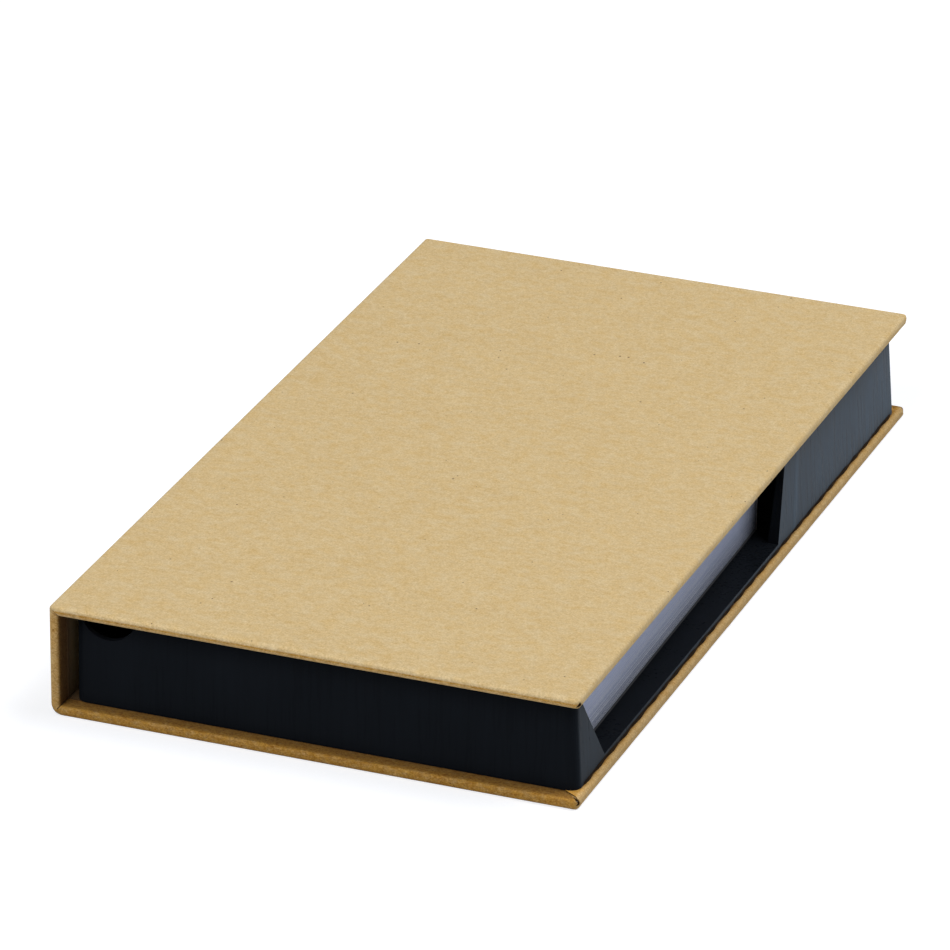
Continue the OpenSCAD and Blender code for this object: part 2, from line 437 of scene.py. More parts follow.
def paper_material(name, base, specks, wrapped=True, end_shade_from=None, gap_edge=None):
    """Uncoated kraft paper: fine fibres along X, mottling and sparse dark specks.

    Wrapped paper takes from its piece's attributes a worn tint that is partly painted shade, painted light,
    painted shade, and painted shade in its tucks; a liner has painted shade at its ends.
    """
    material, shader, kit = new_material(name)
    place = kit.rest_place() if wrapped else kit.object_place()
    cloud = kit.noise(place, 0.10, 2)
    patch = kit.noise(place, 0.42, 3, (0.8, 1, 1))
    mottle = kit.noise(place, 1.5, 2, (0.7, 1, 1))
    grain = kit.noise(place, 3.9, 2, (0.75, 1, 1))
    fibre = kit.noise(place, 0.5, 1, (0.6, 1.5, 1.5))
    light_line = kit.line(fibre, 0.53, 0.010)
    dark_line = kit.line(fibre, 0.43, 0.007)
    clouded = kit.remap(cloud, 0.3, 0.7, -0.012, 0.012)
    tone = kit.calc("ADD", clouded, kit.remap(mottle, 0.25, 0.75, -0.07, 0.07))
    tone = kit.calc("ADD", tone, kit.remap(grain, 0.25, 0.75, -0.15, 0.15))
    tone = kit.calc("ADD", tone, kit.calc("MULTIPLY", light_line, 0.03))
    tone = kit.calc("SUBTRACT", tone, kit.calc("MULTIPLY", dark_line, 0.06))
    warmth = kit.remap(patch, 0.3, 0.7, -0.16, 0.16)

    if wrapped:
        # The edge attribute gives the worn tint, which is partly painted shade; the shade attribute gives
        # painted shade.
        edge = kit.attribute("edge")["Fac"]
        tint_breakup = kit.remap(kit.noise(place, 1.1, 3, (0.6, 1, 1)), 0.3, 0.7, 0.75, 1.3)
        colour = kit.tint(base, KRAFT_WORN_AND_SHADED, kit.calc("MULTIPLY", edge, tint_breakup))
        # Painted light where the edge attribute is below 0.
        colour = kit.scaled(colour, kit.remap(edge, -1, 0, PAINTED_LIGHT, 1))
        # Painted shade from the shade attribute.
        colour = kit.tint(colour, KRAFT_PAINTED_SHADE, kit.attribute("shade")["Fac"])
        tone = kit.calc("MULTIPLY", tone, kit.remap(edge, 0, 1, 1, 2.5))
    else:
        colour = painted_liner_shade(kit, base, place, end_shade_from, gap_edge)
    colour = textured(kit, colour, tone, warmth)

    speck = kit.add("ShaderNodeTexVoronoi", Scale=0.32)
    kit.join(place, speck.inputs["Vector"])
    speck_size = kit.remap(kit.noise(place, 0.09, 0), 0.35, 0.7, 0.0, 0.075 * specks)
    spot = kit.calc("LESS_THAN", speck.outputs["Distance"], speck_size)
    colour = kit.tint(colour, KRAFT_SPECK, kit.calc("MULTIPLY", spot, 0.75))
    if wrapped:
        # Painted shade in the tucks and at the flaps' slanted ends, without gloss there.
        hole_shade = kit.attribute("dark")["Fac"]
        colour = kit.tint(colour, HOLE_PAINTED_SHADE, hole_shade)
        kit.join(kit.remap(hole_shade, 0, 0.6, PAPER_GLOSS, 0), shader["Specular IOR Level"])
    else:
        shader["Specular IOR Level"].default_value = PAPER_GLOSS
    kit.join(colour, shader["Base Color"])
    kit.join(kit.remap(grain, 0.2, 0.8, 0.78, 0.95), shader["Roughness"])
    coarse = kit.bump(mottle, 0.35, 0.05)
    relief = kit.calc("ADD", grain, kit.calc("MULTIPLY", light_line, 0.4))
    kit.join(kit.bump(relief, 0.4, 0.02, coarse), shader["Normal"])
    return material


def board_material():
    """Raw grey board: recycled fibres in grey and brown."""
    material, shader, kit = new_material("grey_board_raw")
    place = kit.object_place()
    layers = kit.noise(place, 1.6, 3, (0.3, 0.3, 2.2))
    flecks = kit.noise(place, 3.5, 2)
    colour = kit.tint(srgb(150, 144, 132), srgb(104, 97, 86), kit.remap(layers, 0.35, 0.7))
    colour = kit.tint(colour, srgb(178, 170, 152), kit.remap(flecks, 0.55, 0.8, 0, 0.6))
    kit.join(colour, shader["Base Color"])
    shader["Roughness"].default_value = 0.95
    shader["Specular IOR Level"].default_value = 0.2
    kit.join(kit.bump(flecks, 0.6, 0.06), shader["Normal"])
    return material


PLASTIC = (0.0066, 0.0080, 0.0106)
PAINTED_SHEEN_TINT = (0.38, 0.66, 1.0, 1)  # the tint of the sheen that paints in a bluish reflection
SINK_Y = 27.4                      # a sink mark in the fore-edge wall, at the wall's foot
SINK_WIDTH = 1.6
SINK_LEAN = 0.2                    # it leans with the cut-out's far side
SINK_WALL = tray_high.x - 2


def plastic_material():
    """Smooth black moulding with flow streaks and a sink mark, and a painted reflection: sheen and specular
    level that grow toward the far end.
    """
    material, shader, kit = new_material("tray_moulding")
    place = kit.object_place()
    flow = kit.noise(place, 1.3, 3, (1, 1, 0.05))
    haze = kit.noise(place, 0.05, 2)
    skin = kit.noise(place, 5, 2)
    shade = kit.calc("ADD", kit.remap(flow, 0.3, 0.7, 0.97, 1.03), kit.remap(haze, 0.3, 0.7, -0.12, 0.12))
    kit.join(kit.scaled(PLASTIC, shade), shader["Base Color"])
    rough = kit.calc("ADD", kit.remap(flow, 0.25, 0.75, 0.25, 0.35), kit.remap(haze, 0.3, 0.7, -0.03, 0.03))
    kit.join(rough, shader["Roughness"])
    shader["IOR"].default_value = 1.09
    spot = kit.split(place)
    # Painted reflection: the specular level rises toward the far end.
    kit.join(kit.remap(spot["Y"], NEAR, -NEAR, 0.30, 0.62), shader["Specular IOR Level"])

    run = kit.calc("SUBTRACT", spot["Y"], kit.calc("MULTIPLY", spot["Z"], SINK_LEAN))
    off = kit.size(kit.calc("SUBTRACT", run, SINK_Y))
    sink = kit.remap(off, 0, SINK_WIDTH, 1, 0, smoothstep=True)
    sink = kit.calc("MULTIPLY", sink, kit.remap(spot["X"], SINK_WALL, SINK_WALL + 0.5))

    # Painted reflection: a bluish sheen on upright faces away from the left wall, growing toward the far
    # end, with a painted highlight along the sink mark.
    painted_sheen = kit.remap(flow, 0.35, 0.65, 0.13, 0.22)
    painted_sheen = kit.calc("MULTIPLY", painted_sheen, kit.remap(spot["Y"], NEAR, -NEAR, 0.5, 1.6))
    painted_sheen = kit.calc("MULTIPLY", painted_sheen, kit.remap(spot["X"], tray_low.x, tray_low.x + 10))
    painted_sheen = kit.calc("ADD", painted_sheen, kit.calc("MULTIPLY", sink, 0.14))
    kit.join(kit.calc("MULTIPLY", painted_sheen, kit.upward(1, 0.1)), shader["Sheen Weight"])
    shader["Sheen Roughness"].default_value = 0.45
    shader["Sheen Tint"].default_value = PAINTED_SHEEN_TINT

    streaks = kit.bump(flow, 0.25, 0.02)
    fine = kit.bump(skin, 0.08, 0.006, streaks)
    kit.join(kit.bump(sink, 0.3, 0.04, fine), shader["Normal"])
    return material


GLUE_DARK = (0.010, 0.006, 0.003)
GLUE_THIN = (0.035, 0.018, 0.006)


def glue_material():
    """Set glue, glossy and nearly black where it picks up the moulding's colour."""
    material, shader, kit = new_material("set_glue")
    lumps = kit.noise(kit.rest_place(), 1.5, 2)
    kit.join(kit.tint(GLUE_DARK, GLUE_THIN, kit.remap(lumps, 0.4, 0.75)), shader["Base Color"])
    kit.join(kit.remap(lumps, 0.3, 0.7, 0.35, 0.5), shader["Roughness"])
    shader["IOR"].default_value = 1.06
    kit.join(kit.bump(lumps, 0.4, 0.05), shader["Normal"])
    return material


SHEET = (0.70, 0.73, 0.79)
# The cut edges' colour, darker and bluer than the top: painted shade.
SHEET_EDGE = (0.53, 0.60, 0.83)
FAR_END_SHADE_LENGTH = 11  # how far from the far end the sheets' cut edges get painted shade
EDGE_LEVELS = (0.28, 1.3)  # painted shade and light: the cut edges' brightness at the pad's foot and at its top


def sheet_material():
    """White pad paper, each sheet's edge a little lighter or darker than the next. The cut edges have
    painted shade: darker and bluer than the top, darker toward the foot and the far end, and lighter near
    the top.
    """
    material, shader, kit = new_material("pad_paper_white")
    place = kit.rest_place()
    own = kit.attribute("edge")["Fac"]
    grain = kit.noise(place, 3, 2)
    spot = kit.split(place)
    # Painted shade down the cut edges and toward the far end.
    level = kit.remap(spot["Z"], sheets_low.z, sheets_high.z, *EDGE_LEVELS)
    far_end_shade = kit.remap(spot["Y"], sheets_high.y - FAR_END_SHADE_LENGTH, sheets_high.y - 1, 1, 0.35)
    level = kit.calc("MULTIPLY", level, far_end_shade)
    shade = kit.calc("ADD", kit.remap(own, 0, 1, 0.93, 1.0), kit.remap(grain, 0.3, 0.7, -0.012, 0.012))
    cut = kit.scaled(SHEET_EDGE, kit.calc("MULTIPLY", shade, level))
    kit.join(kit.tint(cut, SHEET, kit.upward()), shader["Base Color"])
    kit.join(kit.remap(grain, 0.3, 0.7, 0.7, 0.85), shader["Roughness"])
    shader["Specular IOR Level"].default_value = 0.25
    kit.join(kit.bump(grain, 0.2, 0.01), shader["Normal"])
    return material


def card_material():
    """The pad's grey card back."""
    material, shader, kit = new_material("pad_card")
    fibres = kit.noise(kit.object_place(), 2.2, 3)
    colour = kit.tint(srgb(44, 45, 50), srgb(30, 31, 35), kit.remap(fibres, 0.35, 0.7))
    kit.join(colour, shader["Base Color"])
    shader["Roughness"].default_value = 0.9
    kit.join(kit.bump(fibres, 0.4, 0.03), shader["Normal"])
    return material


def binding_material():
    """White padding glue, brushed on in strokes along the pad's far edge."""
    material, shader, kit = new_material("padding_glue")
    strokes = kit.noise(kit.object_place(), 1.2, 3, (0.15, 1, 1.5))
    colour = kit.tint((0.80, 0.80, 0.80), (0.66, 0.67, 0.68), kit.remap(strokes, 0.35, 0.7))
    kit.join(colour, shader["Base Color"])
    kit.join(kit.remap(strokes, 0.3, 0.7, 0.3, 0.5), shader["Roughness"])
    kit.join(kit.bump(strokes, 0.5, 0.05), shader["Normal"])
    return material


def liner_material(node, end_shade_from, gap_edge=None):
    """One liner's paper, with painted shade near its ends and, where gap_edge is given, in the gap beside
    the tray.
    """
    return paper_material(node + "_paper", KRAFT_INSIDE, 0.7, False, end_shade_from, gap_edge)


kraft = paper_material("kraft_wrap", KRAFT, 1.0)
liner_paper = {
    "lid_liner": liner_material("lid_liner", END_SHADE_FROM),
    "spine_liner": liner_material("spine_liner", SPINE_END_SHADE_FROM),
    "base_liner": liner_material("base_liner", END_SHADE_FROM, GAP_EDGE),
}
grey_board = board_material()
plastic = plastic_material()
glue = glue_material()
sheet_paper = sheet_material()
pad_card = card_material()
padding_glue = binding_material()


# ---- the wrapped covers ----

def half_outline():
    """Stops from the fold's mitre along the near edge and round the corner to the fore-edge's middle."""
    stops = [("fold", i / FOLD_STEPS) for i in range(FOLD_STEPS)]
    start = LEFT + FOLD_REACH
    end = RIGHT - CORNER_R
    turning = end - NEAR_CORNER
    for x in spread(start, turning, EDGE_STEP) + spread(turning, end, CORNER_STEP)[1:-1]:
        stops.append(("end", (x - start) / (end - start)))
    stops += [("corner", i / CORNER_ARC) for i in range(CORNER_ARC + 1)]
    start = NEAR + CORNER_R
    turned = start + NEAR_CORNER
    for y in spread(start, turned, CORNER_STEP)[1:] + spread(turned, 0, EDGE_STEP)[1:]:
        stops.append(("fore", (y - start) / -start))
    return stops


def outline_place(side, share, inset, depth):
    """Place and outward direction in plan of a stop of the half outline, drawn in by inset."""
    turn = max(inset, CORNER_R)
    if side == "fold":
        start = LEFT + MITRE_SHIFT + depth
        return Vector((start + (LEFT + FOLD_REACH - start) * share, NEAR + inset)), Vector((0, -1))
    if side == "end":
        start = LEFT + FOLD_REACH
        return Vector((start + (RIGHT - turn - start) * share, NEAR + inset)), Vector((0, -1))
    if side == "corner":
        a = math.pi / 2 * (share - 1)
        out = Vector((math.cos(a), math.sin(a)))
        turned = max(CORNER_R - inset, 0)
        squared = min(CORNER_R, turned / max(math.cos(a), -math.sin(a)))
        reach = turned + (squared - turned) * CORNER_FULL
        return Vector((RIGHT - turn, NEAR + turn)) + out * reach, out
    start = NEAR + turn
    return Vector((RIGHT - inset, start - start * share)), Vector((1, 0))


def corner_run(side, share):
    """Distance along the edge from where the corner starts to turn, or None away from it."""
    if side == "end":
        return (share - 1) * (RIGHT - CORNER_R - LEFT - FOLD_REACH)
    if side == "corner":
        return share * CORNER_R * math.pi / 2
    if side == "fore":
        return CORNER_R * math.pi / 2 - share * (NEAR + CORNER_R)
    return None


LID_TUCK = 1.42        # where along the corner's turn the lid's tuck lies
LID_TUCK_HALF = 0.75
LID_TUCK_FROM = 0.7    # the depth where it starts to open
LID_TUCK_OPENS = 0.85
LID_TUCK_RIM = (0.14, -0.08)
LID_TUCK_TOP = (0.68, 0.85)
LID_TUCK_FOOT = (1.72, 1.55)
BASE_TUCK = 1.4
BASE_TUCK_HALF = 0.34
BASE_TUCK_RIM = (0.12, -0.1)
BASE_TUCK_TOP = (0.75, 0.95)


def open_tuck(run, depth):
    """The lid's corner: a small three-cornered gap where the two turned-in flaps don't meet."""
    if run is None:
        return 0
    half = LID_TUCK_HALF * min(max((depth - LID_TUCK_FROM) / LID_TUCK_OPENS, 0), 1)
    across = smooth(*LID_TUCK_RIM, abs(run - LID_TUCK) - half)
    return across * smooth(*LID_TUCK_TOP, depth) * smooth(*LID_TUCK_FOOT, depth)


def torn_tuck(run, depth):
    """The base's corner: a ragged upright slit between the two flaps."""
    if run is None:
        return 0
    middle = BASE_TUCK + 0.08 * math.sin(6 * depth)
    half = BASE_TUCK_HALF + 0.1 * math.sin(7 * depth + 1)
    return smooth(*BASE_TUCK_RIM, abs(run - middle) - half) * smooth(*BASE_TUCK_TOP, depth)


# Worn colour and painted shade round an edge, as (position, share). Position 0 is the outer face, 1 to 2
# the edge's own face, and 3 the inner face, with millimetres in from there. Worn colour is partly painted
# shade; below 0 it is painted light.
LID_WEAR_AND_PAINTED_LIGHT = ((0, 0), (0.34, -0.1), (0.6, -0.5), (0.8, -0.9), (0.95, -0.75), (1.1, 0), (1.3, 0.55),
            (1.7, 0.95), (2.0, 0.5), (2.4, 0.15), (3, 0.3), (4, 0.6))
LID_SHADE = ((0, 0), (1.4, 0), (1.75, 0.12), (2.1, 0), (2.8, 0), (3.2, 0.2), (6, 0.4))
BASE_WEAR_AND_PAINTED_SHADE = ((0, 0.6), (0.8, 0.95), (1.5, 0.9), (2.1, 0.85), (2.6, 0.9), (3.2, 1.0), (6, 1.0))
BASE_SHADE = ((0, 0.3), (1, 0.25), (2, 0.2), (2.6, 0.2), (3.0, 0.4), (3.6, 0.6), (6, 0.75))
SPINE_WEAR_AND_PAINTED_SHADE = ((0, 0), (0.7, 0.3), (1, 0.55), (2, 0.55), (3, 0.95), (4, 1.0))
SPINE_SHADE = ((0, 0), (1, 0.1), (2.0, 0.15), (2.5, 0.6), (3.2, 0.88), (6, 0.95))
LID_FORE_SHARE = 0.15   # the fore-edge's share of both, beside the ends'
BASE_FORE_SHARE = 0.4


CALM = 0.35             # the share of unevenness that is left at a corner
CALM_PAST = (0.2, 2.5)  # how far past the corner the rest of it comes back
HALF_TURN = 0.9         # about half of the length of the corner's turn


def calmed(run):
    """The share of unevenness at a distance along the edge."""
    if run is None:
        return 1
    return CALM + (1 - CALM) * smooth(*CALM_PAST, abs(run - HALF_TURN) - HALF_TURN)


def cover_wrap(name, tuck, is_lid, body, wear_and_painted_light, shaded, fore_share):
    """One cover's paper: the outer face, the rounded edges and the turned-in borders."""
    skin = Skin()
    rows = []
    half = half_outline()
    for sign, stops in ((1, half), (-1, half[-2::-1])):
        for side, share in stops:
            run = corner_run(side, share)
            calm = calmed(run)
            row = []
            for k, (inset, depth, out, down) in enumerate(RINGS):
                if side == "fold" and k < FOLD_RING:
                    row.append(None)
                    continue
                place, away = outline_place(side, share, inset, depth)
                spot = Vector((place.x, sign * place.y, TOP - depth if is_lid else depth))
                # The tuck's hole is pushed in and gets painted shade.
                hole = tuck(run, depth)
                slip = min(uneven(spot, out, calm), -PIT * hole)
                shift = Vector((away.x, sign * away.y, 0)) * slip * out
                shift.z = (-1 if is_lid else 1) * down * slip
                kept = 1 + (fore_share - 1) * (1 - abs(away.y))
                # This ring's worn tint, partly painted shade and light, and its painted shade.
                edge_tint, shade = ring_tint(wear_and_painted_light, RINGS[k]), ring_tint(shaded, RINGS[k])
                row.append(skin.add(spot + shift, kept * edge_tint, kept * shade, hole))
            rows.append(row)
    skin.fill(rows, flip=is_lid)
    skin.face([row[0] for row in rows if row[0] is not None], flip=not is_lid)
    piece = skin.build(name, kraft, PAPER)
    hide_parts("lid_wrap" if is_lid else "base_wrap")
    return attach(piece, body)


def spine_wrap():
    """The spine's paper: the outer face between the two folds, and a wrapped band at either end."""
    skin = Skin()
    bands = []
    for sign in (1, -1):
        rows = []
        stops = [("low", i / FOLD_STEPS) for i in range(FOLD_STEPS)]
        stops += [("mid", i / SPINE_STEPS) for i in range(SPINE_STEPS + 1)]
        stops += [("high", i / FOLD_STEPS) for i in range(1, FOLD_STEPS + 1)]
        for part, share in stops:
            row = []
            for k, (inset, depth, out, down) in enumerate(RINGS):
                if part != "mid" and k < FOLD_RING:
                    row.append(None)
                    continue
                low = depth + MITRE_SHIFT
                start, end = {"low": (low, FOLD_REACH), "mid": (FOLD_REACH, TOP - FOLD_REACH),
                              "high": (TOP - FOLD_REACH, TOP - low)}[part]
                z = start + (end - start) * share
                spot = Vector((LEFT + depth, sign * (NEAR + inset), z))
                slip = uneven(spot, out, 1)
                spot += Vector((down * slip, -sign * out * slip, 0))
                row.append(skin.add(spot, ring_tint(SPINE_WEAR_AND_PAINTED_SHADE, RINGS[k]), ring_tint(SPINE_SHADE, RINGS[k])))
            rows.append(row)
        skin.fill(rows, flip=sign == 1)
        bands.append([row[0] for row in rows if row[0] is not None])
    skin.face(bands[0] + bands[1][::-1])
    piece = skin.build("spine_paper", kraft, PAPER)
    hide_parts("spine_wrap")
    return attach(piece, "spine")


def fold_across():
    """Places across a fold from its near end to its far one: y, depth and the outward direction."""
    near = [(NEAR + inset, depth, out, down) for inset, depth, out, down in RINGS[FOLD_RING::-1]]
    middle = [(y, 0, 0, -1) for y in spread(NEAR + FLAT_FROM, -NEAR - FLAT_FROM, 1.0)[1:-1]]
    return near + middle + [(-y, depth, out, down) for y, depth, out, down in near[::-1]]


def fold_place(part, share, radius, depth):
    """X, z and the outward direction at a stop of the lower fold's path, from the cover to the spine."""
    if part == "flat":
        return LEFT + FOLD_REACH + (radius - FOLD_REACH) * share, depth, Vector((0, 0, -1))
    if part == "arc":
        a = math.pi / 2 * share
        away = Vector((-math.sin(a), 0, -math.cos(a)))
        return LEFT + radius + (radius - depth) * away.x, radius + (radius - depth) * away.z, away
    return LEFT + depth, radius + (FOLD_REACH - radius) * share, Vector((-1, 0, 0))


def fold_paper(name, radius, is_upper, node, cover_wear_and_painted_light, cover_shade):
    """The paper round a fold.

    Its worn tint and painted shade change along its path, from the cover's to the spine's.
    """
    skin = Skin()
    across = fold_across()
    path = [("flat", i / FOLD_SIDE) for i in range(FOLD_SIDE)]
    path += [("arc", i / FOLD_ARC) for i in range(FOLD_ARC + 1)]
    path += [("side", i / FOLD_SIDE) for i in range(1, FOLD_SIDE + 1)]
    rows = []
    for n, (part, share) in enumerate(path):
        row = []
        spineward = n / (len(path) - 1)
        for y, depth, out, down in across:
            ring = (0, depth, out, down)
            wear_and_painted_light = ring_tint(cover_wear_and_painted_light, ring) * (1 - spineward) + ring_tint(SPINE_WEAR_AND_PAINTED_SHADE, ring) * spineward
            shade = ring_tint(cover_shade, ring) * (1 - spineward) + ring_tint(SPINE_SHADE, ring) * spineward
            x, z, away = fold_place(part, share, radius, depth)
            spot = Vector((x, y, TOP - z if is_upper else z))
            slip = uneven(spot, out, 1)
            if is_upper:
                away = Vector((away.x, 0, -away.z))
            turn = Vector((0, math.copysign(out, y), 0)) - away * down
            row.append(skin.add(spot + turn * slip, wear_and_painted_light, shade))
        rows.append(row)
    skin.fill(rows, flip=is_upper)
    piece = skin.build(name, kraft, PAPER)
    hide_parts(node)
    level = TOP if is_upper else 0
    side = TOP - radius if is_upper else radius
    start = Vector((LEFT + radius, 0, level)) * MM
    end = Vector((LEFT, 0, side)) * MM
    if is_upper:
        start, end = end, start
    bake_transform(piece)
    return piece


# The fore-edge flap: its shape, and its worn tint and painted shade by the distance from the edge
FLAP_LIFT = 0.12         # how far it stands proud
FLAP_LIFT_FROM = (0.45, 1.1)
FLAP_TUCK = 0.05         # how far its outer rim is tucked under
FLAP_TUCK_FROM = (0.65, 0.42)
FLAP_INSETS = (0.42, 0.55, 0.7, 0.9, 1.2, 1.6, 2.2, 2.8, 3.45)
FLAP_SEAM = ((0.42, 0.85), (0.7, 1.2), (1.2, 1.6), (3.45, 3.0))  # its slanted end, by inset
FLAP_RIM = (0.12, 0.22)  # the first steps in from the slanted end
FLAP_STEPS = 60
# Painted shade along the flap's slanted ends.
FLAP_DARK = 0.8
LID_FLAP_WORN = 0.35
# Near the tray's foot the base's flap darkens with a worn tint and painted shade.
FLAP_WEAR_AND_PAINTED_SHADE = ((0.42, 0.35), (0.8, 0.55), (1.1, 0.9))
FLAP_SHADE = ((0.42, 0), (0.8, 0.12), (0.97, 0.45), (1.1, 0.8), (1.2, 0.95))
FLAP_SHADE_FADE = (3, 7)      # the base's flap gets no painted shade this near its ends, and all of it from here on


def flap_run(inset):
    """Stops along the flap, from its near slanted end to its far one."""
    start = NEAR + along(FLAP_SEAM, inset)
    ends = [start, start + FLAP_RIM[0], start + FLAP_RIM[1]]
    step = -2 * ends[-1] / (FLAP_STEPS - 2 * len(FLAP_RIM))
    return ends + spread(ends[-1], -ends[-1], step)[1:-1] + [-y for y in ends[::-1]]


def fore_flap(name, is_lid, body):
    """The fore-edge's turned-in flap, which lies on the end flaps with slanted, slightly raised ends."""
    skin = Skin()
    columns = []
    for inset in FLAP_INSETS:
        sunk = INNER_R - math.sqrt(INNER_R ** 2 - max(INNER_R - inset, 0) ** 2)
        lift = FLAP_LIFT * smooth(*FLAP_LIFT_FROM, inset) - FLAP_TUCK * smooth(*FLAP_TUCK_FROM, inset)
        depth = COVER - sunk + lift
        wear_and_painted_light = LID_FLAP_WORN if is_lid else along(FLAP_WEAR_AND_PAINTED_SHADE, inset)
        column = []
        for i, y in enumerate(flap_run(inset)):
            shade_reach = smooth(*FLAP_SHADE_FADE, min(y - NEAR, -NEAR - y))
            shade = 0 if is_lid else along(FLAP_SHADE, inset) * shade_reach
            dark = FLAP_DARK if i in (0, FLAP_STEPS) else 0
            column.append(skin.add((RIGHT - inset, y, TOP - depth if is_lid else depth), wear_and_painted_light, shade, dark))
        columns.append(column)
    skin.fill(list(zip(*columns)), flip=not is_lid)
    piece = skin.build(name, kraft, FLAP_LIFT)
    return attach(piece, body)


cover_wrap("lid_paper", open_tuck, True, "lid", LID_WEAR_AND_PAINTED_LIGHT, LID_SHADE, LID_FORE_SHARE)
cover_wrap("base_paper", torn_tuck, False, "base", BASE_WEAR_AND_PAINTED_SHADE, BASE_SHADE, BASE_FORE_SHARE)
spine_wrap()
fold_paper("upper_fold_paper", UPPER_R, True, "upper_fold", LID_WEAR_AND_PAINTED_LIGHT, LID_SHADE)
fold_paper("lower_fold_paper", LOWER_R, False, "lower_fold", BASE_WEAR_AND_PAINTED_SHADE, BASE_SHADE)
fore_flap("lid_fore_flap", True, "lid")
fore_flap("base_fore_flap", False, "base")


# ---- CAD pieces that keep their shape ----

def dress(node, material):
    """A CAD node with a better material."""
    piece = nodes[node]
    piece.data.materials.clear()
    piece.data.materials.append(material)
    return piece


TRAY_EDGE_R = 0.22
TRAY_EDGE_SEGMENTS = 3
TRAY_EDGE_ANGLE = math.radians(30)  # edges that turn less than this stay as they are


def soften(piece):
    """Small rounded edges on the tray, made by modifiers."""
    weld = piece.modifiers.new("weld", "WELD")
    weld.merge_threshold = SLIVER * MM
    bevel = piece.modifiers.new("soft_edges", "BEVEL")
    bevel.width = TRAY_EDGE_R * MM
    bevel.segments = TRAY_EDGE_SEGMENTS
    bevel.limit_method = "ANGLE"
    bevel.angle_limit = TRAY_EDGE_ANGLE
    bevel.harden_normals = True


for node in ("lid_board", "spine_board", "base_board"):
    dress(node, grey_board)
for node, paper in liner_paper.items():
    dress(node, paper)
dress("pad_backing", pad_card)
dress("pad_binding", padding_glue)
soften(dress("tray", plastic))


# ---- memo pad ----

SHEETS = 100
SHEET_FILL = 0.92  # the share of its room that a sheet fills
PAD_TURN = math.radians(0.8)
PAD_W = 76
PAD_L = 101.7
PAD_STEP = 4
SLIDE_KEPT = 0.8    # a sheet keeps this share of the slide of the one below it
SLIDE_ADDED = 0.03  # and adds up to this to either side
SLIP_X = (-0.025, 0.025)
SLIP_Y = (-0.03, 0)
SHEET_WAVE = 0.02
SHEET_WAVE_LENGTH = 9
SHEET_WAVE_CHANGE = 0.7


def sheet_outline():
    """The corners and edge stops of a sheet that lies square round the origin."""
    half_w, half_l = PAD_W / 2, PAD_L / 2
    outline = [Vector((-half_w, y)) for y in spread(half_l, -half_l, PAD_STEP)[:-1]]
    outline += [Vector((x, -half_l)) for x in spread(-half_w, half_w, PAD_STEP)[:-1]]
    outline += [Vector((half_w, y)) for y in spread(-half_l, half_l, PAD_STEP)[:-1]]
    outline += [Vector((x, half_l)) for x in spread(half_w, -half_w, PAD_STEP)[:-1]]
    return outline


def pad_sheets():
    """The pad's sheets, each a thin leaf of its own with a slightly different lie."""
    draw = random.Random(7)
    skin = Skin()
    middle = (sheets_low + sheets_high) / 2
    thick = (sheets_high.z - sheets_low.z) / SHEETS
    turn = Matrix.Rotation(PAD_TURN, 2)
    outline = sheet_outline()
    slide = 0.0
    for n in range(SHEETS):
        slide = SLIDE_KEPT * slide + draw.uniform(-SLIDE_ADDED, SLIDE_ADDED)
        shift = Vector((slide + draw.uniform(*SLIP_X), draw.uniform(*SLIP_Y)))
        own = draw.random()
        low = sheets_low.z + n * thick
        rings = []
        for z in (low, low + SHEET_FILL * thick):
            ring = []
            for corner in outline:
                spot = turn @ (corner + shift * smooth(PAD_L / 2, 0, corner.y)) + middle.xy
                wave_at = Vector((*spot / SHEET_WAVE_LENGTH, n * SHEET_WAVE_CHANGE))
                wave = SHEET_WAVE * noise.noise(wave_at)
                ring.append(skin.add((spot.x, spot.y, z + wave), own))
            rings.append(ring)
        skin.fill([ring + ring[:1] for ring in rings], flip=True)
        skin.face(rings[0], flip=True)
        skin.face(rings[1])
    piece = skin.build("pad_leaves", sheet_paper)
    piece.data.shade_flat()
    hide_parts("pad_sheets")
    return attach(piece, "base")


pad_sheets()


# ---- glue ----

GLUE_BASE = COVER
BEAD_PERIOD = 6.6
BEAD_STEP = 0.3
BEAD_ARC = 6
BEAD_BACK = 1.2     # how far the bead reaches back under the tray's foot
BEAD_REACH = 0.25   # how far its lobes stand past the foot
BEAD_RIPPLE = 0.02
BEAD_HEIGHT = 0.75
BEAD_TAPER = 1.5    # its ends thin out over this length
GLUE_LINE_W = 8
GLUE_LINE_L = 140
GLUE_LINE_STEP = 2
GLUE_LINES = (glue_low.x + GLUE_LINE_W / 2, RIGHT - TURN_IN - GLUE_LINE_W / 2)


def bead_reach(y):
    """How far the squeezed-out glue stands past the tray's foot."""
    drift = 0.35 * noise.noise(Vector((y / 11, 3.1, 0)))
    lobe = abs(math.sin(math.pi * (y / BEAD_PERIOD + drift)))
    fine = noise.noise(Vector((y / 0.9, 1.7, 0)))
    swell = noise.noise(Vector((y / 23, 9.4, 0)))
    return BEAD_REACH * lobe ** 1.5 + BEAD_RIPPLE * fine + BEAD_RIPPLE * swell


def close_bar(skin, rows):
    """The sides and both ends of a bar, from rows of point numbers round it."""
    skin.fill([row + row[:1] for row in rows])
    skin.face(rows[0], flip=True)
    skin.face(rows[-1])


